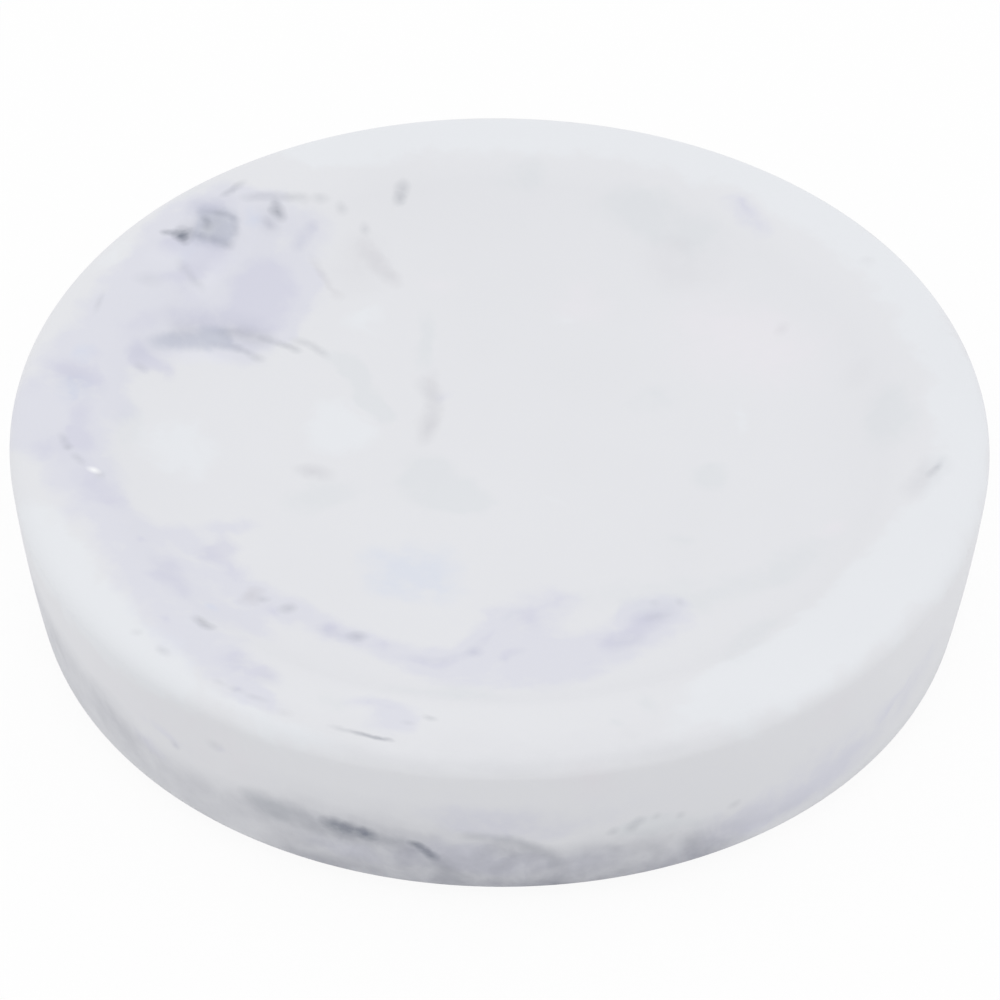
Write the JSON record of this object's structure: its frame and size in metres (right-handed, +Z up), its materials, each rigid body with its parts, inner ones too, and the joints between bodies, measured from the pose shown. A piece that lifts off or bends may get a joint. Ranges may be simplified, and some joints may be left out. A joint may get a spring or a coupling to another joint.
{
  "type": "soap dish",
  "caption": "Round soap dish cast in white marble-look resin, with a shallow dished basin, a bowed tapering wall and rubber bumpers stuck under its flat base.",
  "frame": {"origin": "on the surface the dish stands on, under the middle of the dish", "axes": "+Z up out of the basin, -Y towards the user, +X to the user's right"},
  "size_m": [0.11, 0.11, 0.0227],
  "materials": {
    "cast_resin": "satin cast polyester resin, white with slate and violet marbling",
    "bumper_rubber": "soft translucent elastomer",
    "adhesive_film": "double-sided acrylic film"
  },
  "bodies": {
    "root": {"dish_body": "cast_resin", "right_rear_bumper": "bumper_rubber", "left_rear_bumper": "bumper_rubber", "left_front_bumper": "bumper_rubber", "right_front_bumper": "bumper_rubber", "right_rear_film": "adhesive_film", "left_rear_film": "adhesive_film", "left_front_film": "adhesive_film", "right_front_film": "adhesive_film"}
  },
  "joints": []
}
